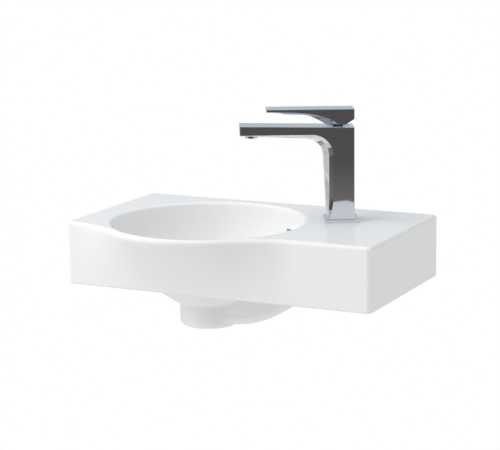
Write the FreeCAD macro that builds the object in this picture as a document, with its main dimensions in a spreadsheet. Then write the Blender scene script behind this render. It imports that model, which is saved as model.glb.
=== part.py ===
import FreeCAD, Part
import math
import os
import re
import Sketcher

# A small wall hung basin of glazed ceramic with a round bowl left of the middle, a push-open
# waste inside the boss under the bowl, and a chromed single lever tap on the right of the deck.
# Row frame: origin on the wall face, midway between the two wall fixing holes; +X to the right
# of someone who stands at the basin, -Y towards them, +Z up.  All lengths are millimetres.

Vector = FreeCAD.Vector

SIZES = {
    # the casting
    "basin_width": 450.0,
    "basin_depth": 237.0,
    "apron_height": 87.0,
    "deck_above_fixings": 42.0,
    "wall_thickness": 12.0,
    "deck_thickness": 14.0,
    "corner_radius": 7.0,
    "deck_edge_radius": 5.0,
    "foot_edge_radius": 3.0,
    "fixing_spacing": 280.0,
    "fixing_hole_radius": 7.0,
    # the bowl and the lip that bulges round it
    "bowl_left_of_middle": 49.3,
    "bowl_radius": 132.0,
    "deck_behind_bowl": 19.9,
    "bowl_depth": 101.0,
    "bowl_floor_radius": 36.0,
    "bowl_wall": 10.0,
    "bowl_floor_thickness": 12.0,
    "rim_edge_radius": 5.2,
    "lip_width": 11.0,
    "lip_half_width": 78.0,
    "lip_blend_reach": 168.0,
    # the boss under the bowl, its drain hole and the overflow chamber round it
    "boss_radius": 41.0,
    "boss_edge_radius": 8.0,
    "drain_hole_radius": 23.0,
    "flange_recess_radius": 33.5,
    "flange_recess_depth": 4.0,
    "chamber_radius": 30.0,
    "chamber_height": 10.0,
    "lower_seat_height": 6.0,
    "nut_recess_radius": 33.0,
    "nut_recess_height": 16.0,
    # the overflow slot and the hollow casting that carries its water to the chamber
    "overflow_width": 16.5,
    "overflow_height": 5.0,
    "overflow_below_rim": 30.0,
    "overflow_direction": 56.0,
    "channel_front": 26.0,
    "channel_side_back": 35.0,
    "channel_rear_reach": 95.0,
    "channel_rear_front": 100.0,
    "channel_off_wall": 10.9,
    "channel_above_boss_foot": 7.0,
    "channel_rise": 34.0,
    "channel_wall": 8.0,
    "channel_edge_radius": 9.0,
    # the waste in the boss
    "flange_radius": 32.0,
    "flange_thickness": 2.5,
    "tail_radius": 20.95,
    "outlet_radius": 20.7,
    "outlet_below_backnut": 0.8,
    "tail_bore_radius": 18.0,
    "tail_above_boss_foot": 0.5,
    "flange_lip": 0.8,
    "tail_slot_width": 14.0,
    "tail_slot_height": 7.0,
    "waste_seal_thickness": 1.5,
    "lower_seal_thickness": 2.5,
    "slip_washer_thickness": 1.2,
    "backnut_thickness": 6.0,
    "backnut_radius": 28.0,
    "backnut_notch": 6.0,
    "thread_clearance": 0.05,
    # the push-open plug
    "plug_travel": 9.0,
    "plug_radius": 30.0,
    "plug_thickness": 4.0,
    "plug_edge": 1.2,
    "plug_crown": 1.0,
    "plug_seat_gap": 0.1,
    "plug_seal_radius": 22.5,
    "plug_seal_bore": 15.0,
    "plug_seal_thickness": 2.0,
    "plug_stem_radius": 4.0,
    "guide_radius": 9.0,
    "guide_height": 20.0,
    "guide_below_flange": 6.0,
    "guide_arm_width": 4.0,
    "guide_arm_height": 5.0,
    "guide_wall": 2.0,
    "running_gap": 0.05,
    # where the tap stands, and its plate
    "tap_right_of_middle": 117.6,
    "tap_from_wall": 82.4,
    "tap_turn": 28.0,
    "tap_hole_radius": 17.5,
    "plate_side": 46.5,
    "plate_thickness": 4.0,
    "plate_gasket_thickness": 1.0,
    "plate_rim": 3.0,
    "plate_edge_bevel": 0.6,
    "spigot_radius": 14.0,
    "spigot_depth": 2.0,
    "spigot_clearance": 0.1,
    # the tap's column and spout, as seen from its side
    "column_back": 17.0,
    "column_foot_front": 19.6,
    "column_knee_front": 23.8,
    "column_side_front": 11.6,
    "column_flare_top": 34.0,
    "tap_half_width": 18.8,
    "column_half_front": 9.5,
    "column_top": 129.2,
    "spout_reach": 136.5,
    "spout_rise": 3.3,
    "spout_tip_drop": 14.2,
    "spout_side_tip_drop": 12.7,
    "elbow_radius": 25.0,
    "elbow_side_radius": 28.0,
    "elbow_drop": 16.7,
    "elbow_side_drop": 10.7,
    # the crease between the tap's flat side and its narrow front
    "column_mid_front": 17.0,
    "column_half_mid": 16.3,
    "spout_mid_tip_drop": 13.3,
    "elbow_mid_radius": 26.5,
    "elbow_mid_drop": 13.4,
    "tap_edge_radius": 0.6,
    # water ways inside the tap, and the stud that holds it down
    "cartridge_from_plate_middle": 1.5,
    "cartridge_seat": 97.9,
    "chamber_clearance": 0.1,
    "waterway_radius": 3.0,
    "outlet_way_radius": 2.5,
    "outlet_way_forward": 18.5,
    "outlet_way_below_seat": 4.5,
    "spout_bore_radius": 3.2,
    "spout_bore_height": 122.9,
    "inlet_radius": 5.0,
    "inlet_length": 18.0,
    "inlet_forward": 4.5,
    "inlet_sideways": 6.2,
    "stud_back": 8.0,
    "stud_radius": 4.0,
    "stud_in_body": 16.0,
    "stud_below_deck": 50.0,
    # the aerator in the spout's tip
    "aerator_radius": 8.9,
    "aerator_thread_radius": 8.4,
    "aerator_from_tip": 15.9,
    "aerator_depth": 6.0,
    "aerator_seat_depth": 0.2,
    "aerator_showing": 2.4,
    "aerator_wall": 1.2,
    "aerator_gasket_thickness": 1.5,
    "aerator_insert_thickness": 4.0,
    "aerator_lip": 0.8,
    "aerator_hole_radius": 0.6,
    # the clamp under the deck
    "clamp_radius": 22.0,
    "clamp_slot_half_width": 13.0,
    "clamp_slot_back": 2.0,
    "clamp_gasket_thickness": 3.0,
    "clamp_washer_thickness": 2.0,
    "clamp_stud_clearance": 0.3,
    "clamp_nut_flats": 13.0,
    "clamp_nut_height": 8.0,
    # the mixer cartridge
    "cartridge_radius": 12.5,
    "cartridge_base_height": 6.0,
    "fixed_disc_radius": 9.3,
    "moving_disc_radius": 7.0,
    "disc_thickness": 3.5,
    "driver_thickness": 2.2,
    "port_radius": 2.0,
    "port_circle_radius": 5.0,
    "port_seal_radius": 3.3,
    "port_seal_thickness": 1.0,
    "housing_wall": 1.6,
    "housing_height": 13.5,
    "housing_shoulder_thickness": 2.0,
    "housing_neck_radius": 8.7,
    "housing_neck_height": 4.5,
    "carrier_radius": 7.2,
    "carrier_above_pivot": 3.0,
    "carrier_flange_radius": 9.6,
    "carrier_flange_thickness": 2.0,
    "carrier_slot_back": 4.1,
    "carrier_slot_front": 5.4,
    "carrier_foot_slot_front": 6.2,
    "ring_nut_height": 4.0,
    "pivot_height": 121.9,
    "pivot_pin_radius": 1.25,
    "spindle_side": 5.0,
    "spindle_side_gap": 0.3,
    "spindle_swing_gap": 0.6,
    "spindle_below_pivot": 10.0,
    "spindle_above_pivot": 19.0,
    "dome_radius": 13.0,
    "dome_bore": 9.1,
    "dome_ring_radius": 12.4,
    # the lever, as seen from its side
    "lever_top": 153.8,
    "lever_tip_rise": 0.5,
    "lever_back": 17.0,
    "lever_reach": 100.5,
    "lever_tip_thickness": 3.7,
    "lever_half_width": 16.8,
    "lever_foot_half_width": 8.0,
    "lever_back_drop": 13.6,
    "lever_foot_drop": 22.4,
    "lever_foot_front": 19.0,
    "lever_foot_back": 2.0,
    "lever_side_foot_drop": 21.2,
    "lever_side_foot_rise": 1.6,
    "lever_edge_radius": 0.6,
    "lever_side_foot_front": 6.0,
    "lever_side_foot_back": 5.0,
    "lever_side_pull_front": 57.4,
    "lever_side_pull_front_drop": 2.9,
    "lever_side_pull_back": 20.7,
    "lever_side_pull_back_drop": 5.6,
    "lever_under_pull_front": 44.6,
    "lever_under_pull_front_drop": 13.6,
    "lever_under_pull_back": 54.7,
    "lever_under_pull_back_drop": -0.6,
    "dome_gap": 0.3,
    "socket_clearance": 0.1,
    "grub_screw_radius": 2.0,
    "grub_screw_length": 6.0,
    "grub_screw_drop": 15.0,
    "grub_socket_radius": 1.0,
    "index_cap_radius": 3.2,
    "index_cap_gap": 1.0,
}

DOC = FreeCAD.newDocument("wall_hung_basin")
SHEET = DOC.addObject("Spreadsheet::Sheet", "Sizes")
for row, (alias, value) in enumerate(SIZES.items(), start=1):
    SHEET.set(f"A{row}", alias)
    SHEET.set(f"B{row}", str(value))
    SHEET.setAlias(f"B{row}", alias)
DOC.recompute()


def size(alias):
    """A driving size as a number, read from the sheet."""
    return float(SHEET.get(alias))


def bound(text):
    """An expression written with plain size names, pointed at the sheet's cells."""
    return re.sub(r"[a-z][a-z_]*", lambda word: ("Sizes." if word[0] in SIZES else "") + word[0], text)


# ---------------------------------------------------------------------------------------------
# Ways of working that every piece shares
# ---------------------------------------------------------------------------------------------

# An edge or a face this near to a plane counts as lying on it.
TOUCH = 0.01
# Sketch lines start out on a loose ring of this radius, and their constraints pull them home.
LOOSE_RING = 10.0


def new_body(label):
    body = DOC.addObject("PartDesign::Body", label)
    body.Label = label
    return body


def new_sketch(body, name, plane="XY_Plane", height="0"):
    """A sketch on one of the body's own origin planes, lifted along that plane's normal."""
    sketch = body.newObject("Sketcher::SketchObject", name)
    origin_plane = [part for part in body.Origin.OriginFeatures if part.Role == plane][0]
    sketch.AttachmentSupport = [(origin_plane, "")]
    sketch.MapMode = "FlatFace"
    sketch.setExpression("AttachmentOffset.Base.z", bound(height))
    return sketch


def add_distance(sketch, kind, geometry, point, text):
    number = sketch.addConstraint(Sketcher.Constraint(kind, -1, 1, geometry, point, 1.0))
    sketch.setExpression(f"Constraints[{number}]", bound(text))


def add_outline(sketch, corners):
    """A closed outline of straight lines through corners given as pairs of expressions."""
    first = sketch.GeometryCount
    count = len(corners)
    turn = 2 * math.pi / count
    loose = [
        Vector(LOOSE_RING * math.cos(turn * step), LOOSE_RING * math.sin(turn * step), 0)
        for step in range(count)
    ]
    for step in range(count):
        sketch.addGeometry(Part.LineSegment(loose[step], loose[(step + 1) % count]), False)
    for step in range(count):
        following = first + (step + 1) % count
        sketch.addConstraint(Sketcher.Constraint("Coincident", first + step, 2, following, 1))
    for step, (across, along) in enumerate(corners):
        add_distance(sketch, "DistanceX", first + step, 1, across)
        add_distance(sketch, "DistanceY", first + step, 1, along)


def add_box_outline(sketch, left, right, low, high):
    add_outline(sketch, [(left, low), (right, low), (right, high), (left, high)])


def add_circle(sketch, radius, across="0", along="0"):
    circle = sketch.addGeometry(Part.Circle(Vector(0, 0, 0), Vector(0, 0, 1), LOOSE_RING), False)
    add_distance(sketch, "DistanceX", circle, 3, across)
    add_distance(sketch, "DistanceY", circle, 3, along)
    number = sketch.addConstraint(Sketcher.Constraint("Radius", circle, LOOSE_RING))
    sketch.setExpression(f"Constraints[{number}]", bound(radius))


def add_pad(body, sketch, length, downwards=False):
    pad = body.newObject("PartDesign::Pad", sketch.Name + "_pad")
    pad.Profile = sketch
    pad.Reversed = downwards
    pad.setExpression("Length", bound(length))
    DOC.recompute()
    return pad


def add_pocket(body, sketch, length, upwards=False):
    """A pocket that goes down from its sketch, or up from it."""
    before = body.Shape.Volume
    pocket = body.newObject("PartDesign::Pocket", sketch.Name + "_pocket")
    pocket.Profile = sketch
    pocket.Reversed = upwards
    pocket.setExpression("Length", bound(length))
    DOC.recompute()
    if body.Shape.Volume >= before:
        raise RuntimeError(f"{pocket.Name} cuts nothing")
    return pocket


def add_turned(body, sketch):
    """A solid of revolution about the sketch's own vertical axis."""
    turned = body.newObject("PartDesign::Revolution", sketch.Name + "_turned")
    turned.Profile = sketch
    turned.ReferenceAxis = (sketch, ["V_Axis"])
    turned.Angle = 360
    DOC.recompute()
    return turned


def add_ring_of(body, feature, count):
    """Repeats a feature evenly about the body's vertical axis."""
    ring = body.newObject("PartDesign::PolarPattern", feature.Name + "_ring")
    ring.Originals = [feature]
    ring.Axis = ([part for part in body.Origin.OriginFeatures if part.Role == "Z_Axis"][0], [""])
    ring.Angle = 360
    ring.Occurrences = count
    body.Tip = ring
    DOC.recompute()
    return ring


def edges_where(shape, test):
    return [f"Edge{number}" for number, edge in enumerate(shape.Edges, start=1) if test(edge)]


def add_rounding(body, kind, radius, test):
    """Rounds ("Fillet") or bevels ("Chamfer") the edges of the body's latest solid that pass."""
    latest = body.Tip
    rounding = body.newObject("PartDesign::" + kind, f"{body.Name}_{kind.lower()}_{len(body.Group)}")
    rounding.Base = (latest, edges_where(latest.Shape, test))
    rounding.setExpression("Radius" if kind == "Fillet" else "Size", bound(radius))
    DOC.recompute()
    return rounding


def turned_body(label, corners):
    """A body turned from one outline of (radius, height) corners."""
    body = new_body(label)
    sketch = new_sketch(body, label + "_section", "XZ_Plane")
    add_outline(sketch, corners)
    add_turned(body, sketch)
    return body


def is_circle(edge):
    return edge.Curve.TypeId == "Part::GeomCircle"


def is_upright(edge):
    box = edge.BoundBox
    return box.ZLength > 0.5 and box.XLength < TOUCH and box.YLength < TOUCH


def part_cylinder(name, radius, height, across="0", along="0", low="0"):
    cylinder = DOC.addObject("Part::Cylinder", name)
    cylinder.setExpression("Radius", bound(radius))
    cylinder.setExpression("Height", bound(height))
    put(cylinder, across, along, low)
    return cylinder


def part_box(name, across, along, upward):
    """A box between two expressions along each axis."""
    box = DOC.addObject("Part::Box", name)
    for side, (low, high) in zip(("Length", "Width", "Height"), (across, along, upward)):
        box.setExpression(side, bound(f"({high}) - ({low})"))
    put(box, across[0], along[0], upward[0])
    return box


def part_shape(name, shape):
    feature = DOC.addObject("Part::Feature", name)
    feature.Shape = shape
    return feature


# Merging neighbouring faces would upset the curved walls of the bowl and the spout, so Refine is
# off for every fuse and cut.


def part_fuse(name, shapes):
    fuse = DOC.addObject("Part::MultiFuse", name)
    fuse.Refine = False
    fuse.Shapes = shapes
    DOC.recompute()
    return fuse


def part_cut(name, base, tool):
    cut = DOC.addObject("Part::Cut", name)
    cut.Refine = False
    cut.Base = base
    cut.Tool = tool
    DOC.recompute()
    return cut


def part_common(name, shapes):
    common = DOC.addObject("Part::MultiCommon", name)
    common.Shapes = shapes
    DOC.recompute()
    return common


def part_fillet(name, base, radius, test):
    fillet = DOC.addObject("Part::Fillet", name)
    fillet.Base = base
    fillet.Edges = [
        (number, size(radius), size(radius))
        for number, edge in enumerate(base.Shape.Edges, start=1)
        if test(edge)
    ]
    DOC.recompute()
    return fillet


def put(piece, across="0", along="0", up="0", angle=None):
    """Binds a piece's place, and its turn about the vertical where it has one."""
    piece.setExpression("Placement.Base.x", bound(across))
    piece.setExpression("Placement.Base.y", bound(along))
    piece.setExpression("Placement.Base.z", bound(up))
    if angle is not None:
        piece.Placement = FreeCAD.Placement(Vector(0, 0, 0), FreeCAD.Rotation(Vector(0, 0, 1), 90))
        piece.setExpression("Placement.Rotation.Angle", bound(angle))


SUB_PARTS = []


def keep_on_deck(piece):
    """A piece drawn with the deck's top at height 0, midway along the wall."""
    put(piece, up="deck_above_fixings")
    SUB_PARTS.append(piece)


def keep_in_bowl(piece):
    """A piece drawn about the bowl's axis, with the deck's top at height 0."""
    put(piece, "-bowl_left_of_middle", "-bowl_radius - deck_behind_bowl", "deck_above_fixings")
    SUB_PARTS.append(piece)


def keep_on_tap(piece):
    """A piece drawn about the tap's axis, spout along +X, with the deck's top at height 0."""
    put(piece, "tap_right_of_middle", "-tap_from_wall", "deck_above_fixings", "180 + tap_turn")
    SUB_PARTS.append(piece)


def keep_on_cartridge(piece):
    """A piece drawn about the cartridge's axis, spout along +X, with the deck's top at height 0."""
    put(
        piece,
        "tap_right_of_middle + cartridge_from_plate_middle * cos(180 + tap_turn)",
        "-tap_from_wall + cartridge_from_plate_middle * sin(180 + tap_turn)",
        "deck_above_fixings",
        "180 + tap_turn",
    )
    SUB_PARTS.append(piece)


# ---------------------------------------------------------------------------------------------
# The basin, one glazed casting, drawn with its deck at height 0 and the wall at depth 0
# ---------------------------------------------------------------------------------------------

BOWL_X = -size("bowl_left_of_middle")
BOWL_Y = -size("bowl_radius") - size("deck_behind_bowl")

# Below the lip the front falls back fast at first and then ever more slowly: its slope at the
# apron's foot, as a share of the mean slope.
FOOT_SLOPE = 0.35
# How soon the front turns from upright at the lip to its full slope, as a share of its height.
LIP_TURN = 0.05
FRONT_STATIONS = 48
OUTLINE_STEPS = 12
OUTLINE_CROWDING = 1.4
# The outlines run this far into the wall, and a flat cut then makes the wall face.
INTO_WALL = 2.0


def lip_bulge(across):
    """How far the lip stands out in front of the straight front, this far from the bowl's axis."""
    distance = abs(across)
    half = size("lip_half_width")
    reach = size("lip_blend_reach")
    radius = size("bowl_radius") + size("lip_width")
    straight = size("basin_depth") + BOWL_Y
    if distance >= reach:
        return 0.0
    if distance <= half:
        return math.sqrt(radius ** 2 - distance ** 2) - straight
    end_height = math.sqrt(radius ** 2 - half ** 2)
    span = reach - half
    share = (distance - half) / span
    rise = (2 * share ** 3 - 3 * share ** 2 + 1) * (end_height - straight)
    lean = (share ** 3 - 2 * share ** 2 + share) * span * half / end_height
    return rise - lean


def bulge_share(depth):
    """The share of the lip's bulge that is left at a depth under the deck: 1 at the lip, 0 at
    the apron's foot."""
    upright = size("deck_edge_radius")
    share = max(0.0, depth - upright) / (size("apron_height") - upright)
    start_slope = (1 - FOOT_SLOPE / 2) / (0.5 - LIP_TURN)
    easing = (start_slope - FOOT_SLOPE) / 2
    turned = share - LIP_TURN * (1 - math.exp(-share / LIP_TURN))
    return 1 - (start_slope * turned - easing * share ** 2)


def casting_outline(depth):
    """The casting's outline at one depth: wall side, two ends, two corners and the front."""
    share = bulge_share(depth)
    half = size("basin_width") / 2
    radius = size("corner_radius")
    corner = half - radius
    front = -size("basin_depth")
    points = []
    for station in range(FRONT_STATIONS + 1):
        across = corner - 2 * corner * station / FRONT_STATIONS
        points.append(Vector(across, front - lip_bulge(across - BOWL_X) * share, -depth))
    front_curve = Part.BSplineCurve()
    front_curve.interpolate(Points=points, InitialTangent=Vector(-1, 0, 0), FinalTangent=Vector(-1, 0, 0))
    bend = front + radius
    diagonal = radius * math.sqrt(0.5)
    right_middle = Vector(corner + diagonal, bend - diagonal, -depth)
    left_middle = Vector(-corner - diagonal, bend - diagonal, -depth)
    curves = [
        Part.LineSegment(Vector(-half, INTO_WALL, -depth), Vector(half, INTO_WALL, -depth)),
        Part.LineSegment(Vector(half, INTO_WALL, -depth), Vector(half, bend, -depth)),
        Part.Arc(Vector(half, bend, -depth), right_middle, points[0]),
        front_curve,
        Part.Arc(points[-1], left_middle, Vector(-half, bend, -depth)),
        Part.LineSegment(Vector(-half, bend, -depth), Vector(-half, INTO_WALL, -depth)),
    ]
    return Part.Wire([curve.toShape() for curve in curves])


def casting_depths():
    """Depths of the outlines, closer together under the lip, where the front turns most."""
    shares = [(step / OUTLINE_STEPS) ** OUTLINE_CROWDING for step in range(OUTLINE_STEPS + 1)]
    return [size("apron_height") * share for share in shares]


def stands_out(edge):
    """Whether an edge lies clear of the wall."""
    return edge.BoundBox.YMin < -1


# The bowl's wall leaves the rim upright at the back and sides.  At the front it turns inwards soon
# after the rim, because the front of the casting falls back to the straight foot of the apron.
BACK_SHAPE = (2.5, 2.5)
SIDE_SHAPE = (1.7, 1.5)
FRONT_TURN = 0.05
BOWL_FRONT_POWER = 1.15
SHELL_FRONT_POWER = 1.1
BOWL_SECTIONS = 9
BOWL_POINTS = 28
# The bowl's form starts a little inside the straight mouth, so that no two faces lie on each other.
MOUTH_STEP = 0.08


def bowl_section(depth, share, rim, floor, front_power):
    """A closed curve round the bowl at one depth, for a share of the way from rim to floor."""
    turned = (share - FRONT_TURN * (1 - math.exp(-share / FRONT_TURN))) / (1 - FRONT_TURN)
    side = floor + (rim - floor) * (1 - share ** SIDE_SHAPE[0]) ** (1 / SIDE_SHAPE[1])
    back = floor + (rim - floor) * (1 - share ** BACK_SHAPE[0]) ** (1 / BACK_SHAPE[1])
    front = floor + (rim - floor) * max(0.0, 1 - turned) ** front_power
    points = []
    for step in range(BOWL_POINTS):
        angle = 2 * math.pi * step / BOWL_POINTS
        reach = back if math.sin(angle) > 0 else front
        points.append(
            Vector(BOWL_X + side * math.cos(angle), BOWL_Y + reach * math.sin(angle), -depth)
        )
    curve = Part.BSplineCurve()
    curve.interpolate(Points=points, PeriodicFlag=True)
    return Part.Wire([curve.toShape()])


def bowl_solid(rim, floor, full_depth, front_power, start, upright):
    """The bowl's form from a start depth to its floor, its wall upright down to a second depth."""
    sections = []
    for step in range(BOWL_SECTIONS + 1):
        depth = start + (full_depth - start) * math.sin(math.pi / 2 * step / BOWL_SECTIONS)
        share = min(1.0, max(0.0, depth - upright) / (full_depth - upright))
        sections.append(bowl_section(depth, share, rim, floor, front_power))
    return Part.makeLoft(sections, True, False)


LOWER_SEAT_FOOT = "bowl_depth + bowl_floor_thickness + chamber_height + lower_seat_height"
BOSS_DEPTH = f"({LOWER_SEAT_FOOT} + nut_recess_height)"


def chamber_foot():
    return size("bowl_depth") + size("bowl_floor_thickness") + size("chamber_height")


def boss_depth():
    return chamber_foot() + size("lower_seat_height") + size("nut_recess_height")


def channel_back():
    """How far the channel reaches behind the bowl's axis."""
    return -BOWL_Y - size("channel_off_wall")


def channel_profile(name, bottom, reach, rise):
    """A prism whose underside sweeps up from the boss to the channel's far end."""
    start = size("boss_radius")
    radius = ((reach - start) ** 2 + rise ** 2) / (2 * rise)
    half_angle = math.asin((reach - start) / radius) / 2
    middle = Vector(start + radius * math.sin(half_angle), 0, -bottom + radius * (1 - math.cos(half_angle)))
    top = 2 - size("deck_thickness")
    curves = [
        Part.LineSegment(Vector(0, 0, -bottom), Vector(start, 0, -bottom)),
        Part.Arc(Vector(start, 0, -bottom), middle, Vector(reach, 0, rise - bottom)),
        Part.LineSegment(Vector(reach, 0, rise - bottom), Vector(reach, 0, top)),
        Part.LineSegment(Vector(reach, 0, top), Vector(0, 0, top)),
        Part.LineSegment(Vector(0, 0, top), Vector(0, 0, -bottom)),
    ]
    wire = Part.Wire([curve.toShape() for curve in curves])
    wire.translate(Vector(BOWL_X, BOWL_Y - size("channel_front"), 0))
    length = size("channel_front") + channel_back()
    return part_shape(name, Part.Face(wire).extrude(Vector(0, length, 0)))


def channel_plan(name, inset):
    """The channel's outline seen from above, as a prism under the deck."""
    reach = size("bowl_radius") - inset
    rear = size("channel_rear_reach") - inset
    corners = [
        (inset, inset - size("channel_front")),
        (reach, inset - size("channel_front")),
        (reach, size("channel_side_back") - inset / 2),
        (rear, size("channel_rear_front") - inset / 2),
        (rear, channel_back() - inset),
        (inset, channel_back() - inset),
    ]
    top = 2 - size("deck_thickness")
    points = [Vector(BOWL_X + across, BOWL_Y + along, top) for across, along in corners]
    face = Part.Face(Part.makePolygon(points + points[:1]))
    return part_shape(name, face.extrude(Vector(0, 0, -boss_depth())))


def overflow_slot():
    """The slot through the bowl's wall into the channel, long side level, ends round."""
    across = size("overflow_width") - size("overflow_height")
    radius = size("overflow_height") / 2
    start = size("bowl_radius") - 4 * size("overflow_height")
    length = 2 * size("bowl_wall") + 4 * size("overflow_height")
    block = Part.makeBox(length, across, 2 * radius, Vector(start, -across / 2, -radius))
    for side in (-1, 1):
        end = Part.makeCylinder(radius, length, Vector(start, side * across / 2, 0), Vector(1, 0, 0))
        block = block.fuse(end)
    block = block.removeSplitter()
    block.rotate(Vector(0, 0, 0), Vector(0, 0, 1), size("overflow_direction"))
    block.translate(Vector(BOWL_X, BOWL_Y, -size("overflow_below_rim")))
    return part_shape("overflow_slot", block)


def about_bowl(name, radius, top, bottom):
    """A round tool on the bowl's axis between two depths."""
    return part_cylinder(
        name, radius, f"({bottom}) - ({top})",
        "-bowl_left_of_middle", "-bowl_radius - deck_behind_bowl", f"-({bottom})",
    )


UPPER_SEAT_FOOT = "bowl_depth + bowl_floor_thickness"
CHAMBER_FOOT = f"{UPPER_SEAT_FOOT} + chamber_height"


def make_basin():
    shell_depth = size("bowl_depth") + size("bowl_floor_thickness")
    outlines = [casting_outline(depth) for depth in casting_depths()]
    wall = part_box(
        "wall", ("-basin_width", "basin_width"), ("0", "basin_depth"), ("-2 * apron_height", "apron_height")
    )
    DOC.recompute()
    block = part_cut("casting_block", part_shape("casting_form", Part.makeLoft(outlines, True, False)), wall)
    mouth_depth = size("rim_edge_radius") + 1
    bowl_space = part_shape(
        "bowl_space",
        bowl_solid(
            size("bowl_radius") - MOUTH_STEP, size("bowl_floor_radius"), size("bowl_depth"),
            BOWL_FRONT_POWER, mouth_depth - 2, mouth_depth,
        ),
    )
    bowl_shell = part_shape(
        "bowl_shell",
        bowl_solid(
            size("bowl_radius") + size("bowl_wall"), size("boss_radius") + 1, shell_depth,
            SHELL_FRONT_POWER, size("deck_thickness") - 2, 0.0,
        ),
    )
    topped = part_fillet(
        "topped_block", block, "deck_edge_radius",
        lambda edge: edge.BoundBox.ZMin > -TOUCH and stands_out(edge),
    )
    footed = part_fillet(
        "footed_block", topped, "foot_edge_radius",
        lambda edge: edge.BoundBox.ZMax < TOUCH - size("apron_height") and stands_out(edge),
    )
    mouth = about_bowl("bowl_mouth", "bowl_radius", "-1", "rim_edge_radius + 1")
    DOC.recompute()
    opened = part_cut("opened_block", footed, mouth)
    rimmed = part_fillet(
        "rimmed_block", opened, "rim_edge_radius",
        lambda edge: is_circle(edge) and edge.BoundBox.ZMin > -TOUCH
        and edge.BoundBox.XLength > size("bowl_radius"),
    )
    dished = part_cut("dished_block", rimmed, bowl_space)
    hollow = part_box(
        "apron_hollow",
        ("wall_thickness - basin_width / 2", "basin_width / 2 - wall_thickness"),
        ("wall_thickness - basin_depth", "-wall_thickness"),
        ("-apron_height - 1", "-deck_thickness"),
    )
    DOC.recompute()
    soft_hollow = part_fillet("soft_apron_hollow", hollow, "wall_thickness", is_upright)

    channel = part_common(
        "channel_solid",
        [
            channel_profile(
                "channel_side", boss_depth() - size("channel_above_boss_foot"), size("bowl_radius"),
                size("channel_rise"),
            ),
            channel_plan("channel_outline", 0.0),
        ],
    )
    front_side = BOWL_Y - size("channel_front")
    soft_channel = part_fillet(
        "soft_channel", channel, "channel_edge_radius",
        lambda edge: edge.BoundBox.YMax < front_side + TOUCH
        and edge.BoundBox.ZMin < -size("apron_height")
        and edge.BoundBox.XMax > BOWL_X + 1,
    )
    inset = size("channel_wall")
    channel_inside = part_common(
        "channel_inside_solid",
        [
            channel_profile(
                "channel_inside_side", chamber_foot(), size("bowl_radius") - inset,
                size("channel_rise") - inset,
            ),
            channel_plan("channel_inside_outline", inset),
        ],
    )

    boss = about_bowl("boss_block", "boss_radius", "bowl_depth - 3", BOSS_DEPTH)
    DOC.recompute()
    soft_boss = part_fillet(
        "soft_boss", boss, "boss_edge_radius",
        lambda edge: is_circle(edge) and edge.BoundBox.ZMax < TOUCH - boss_depth(),
    )

    shell = part_fuse("shell_and_channel", [bowl_shell, soft_channel])
    under = part_cut("under_bowl", part_fuse("under_shell", [shell, soft_boss]), bowl_space)
    recess_foot = "bowl_depth + flange_recess_depth"
    openings = [
        part_cut("channel_space", channel_inside, bowl_shell),
        overflow_slot(),
        about_bowl("flange_recess", "flange_recess_radius", "bowl_depth - 5", recess_foot),
        about_bowl("drain_hole", "drain_hole_radius", "bowl_depth", LOWER_SEAT_FOOT),
        about_bowl("overflow_chamber", "chamber_radius", UPPER_SEAT_FOOT, CHAMBER_FOOT),
        about_bowl("nut_recess", "nut_recess_radius", LOWER_SEAT_FOOT, BOSS_DEPTH + " + 1"),
    ]
    DOC.recompute()
    for opening in openings:
        under = part_cut("under_with_" + opening.Name, under, opening)

    wall_openings = [
        soft_hollow,
        part_cylinder(
            "tap_hole", "tap_hole_radius", "deck_thickness + 2",
            "tap_right_of_middle", "-tap_from_wall", "-deck_thickness - 1",
        ),
    ]
    for name, side in (("fixing_hole_left", "-"), ("fixing_hole_right", "")):
        hole = part_cylinder(name, "fixing_hole_radius", "wall_thickness + 2")
        hole.Placement = FreeCAD.Placement(Vector(0, 0, 0), FreeCAD.Rotation(Vector(1, 0, 0), 90))
        put(hole, f"{side}fixing_spacing / 2", "1", "-deck_above_fixings")
        wall_openings.append(hole)
    DOC.recompute()
    upper = part_cut("upper_part", dished, part_fuse("wall_openings", wall_openings))
    keep_on_deck(part_fuse("basin", [upper, under]))


# ---------------------------------------------------------------------------------------------
# The waste, drawn about the bowl's axis: its flange lies in the bowl floor and its backnut pulls
# it down against the boss
# ---------------------------------------------------------------------------------------------

FLANGE_TOP = "-(bowl_depth + flange_recess_depth) + waste_seal_thickness + flange_thickness"
FLANGE_FOOT = "-(bowl_depth + flange_recess_depth) + waste_seal_thickness"
RECESS_FLOOR = "-(bowl_depth + flange_recess_depth)"
TAIL_FOOT = f"tail_above_boss_foot - {BOSS_DEPTH}"
LOWER_SEAL_FOOT = f"-({LOWER_SEAT_FOOT}) - lower_seal_thickness"
SLIP_WASHER_FOOT = f"{LOWER_SEAL_FOOT} - slip_washer_thickness"
BACKNUT_FOOT = f"{SLIP_WASHER_FOOT} - backnut_thickness"
OUTLET_TOP = f"{BACKNUT_FOOT} - outlet_below_backnut"
BACKNUT_NOTCHES = 8
BACKNUT_NOTCH_DEPTH = "(backnut_radius - tail_radius) / 3"
TAIL_OUTSIDE = "tail_radius + thread_clearance"


def ring_corners(bore, radius, low, high):
    return [(bore, low), (radius, low), (radius, high), (bore, high)]


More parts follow.
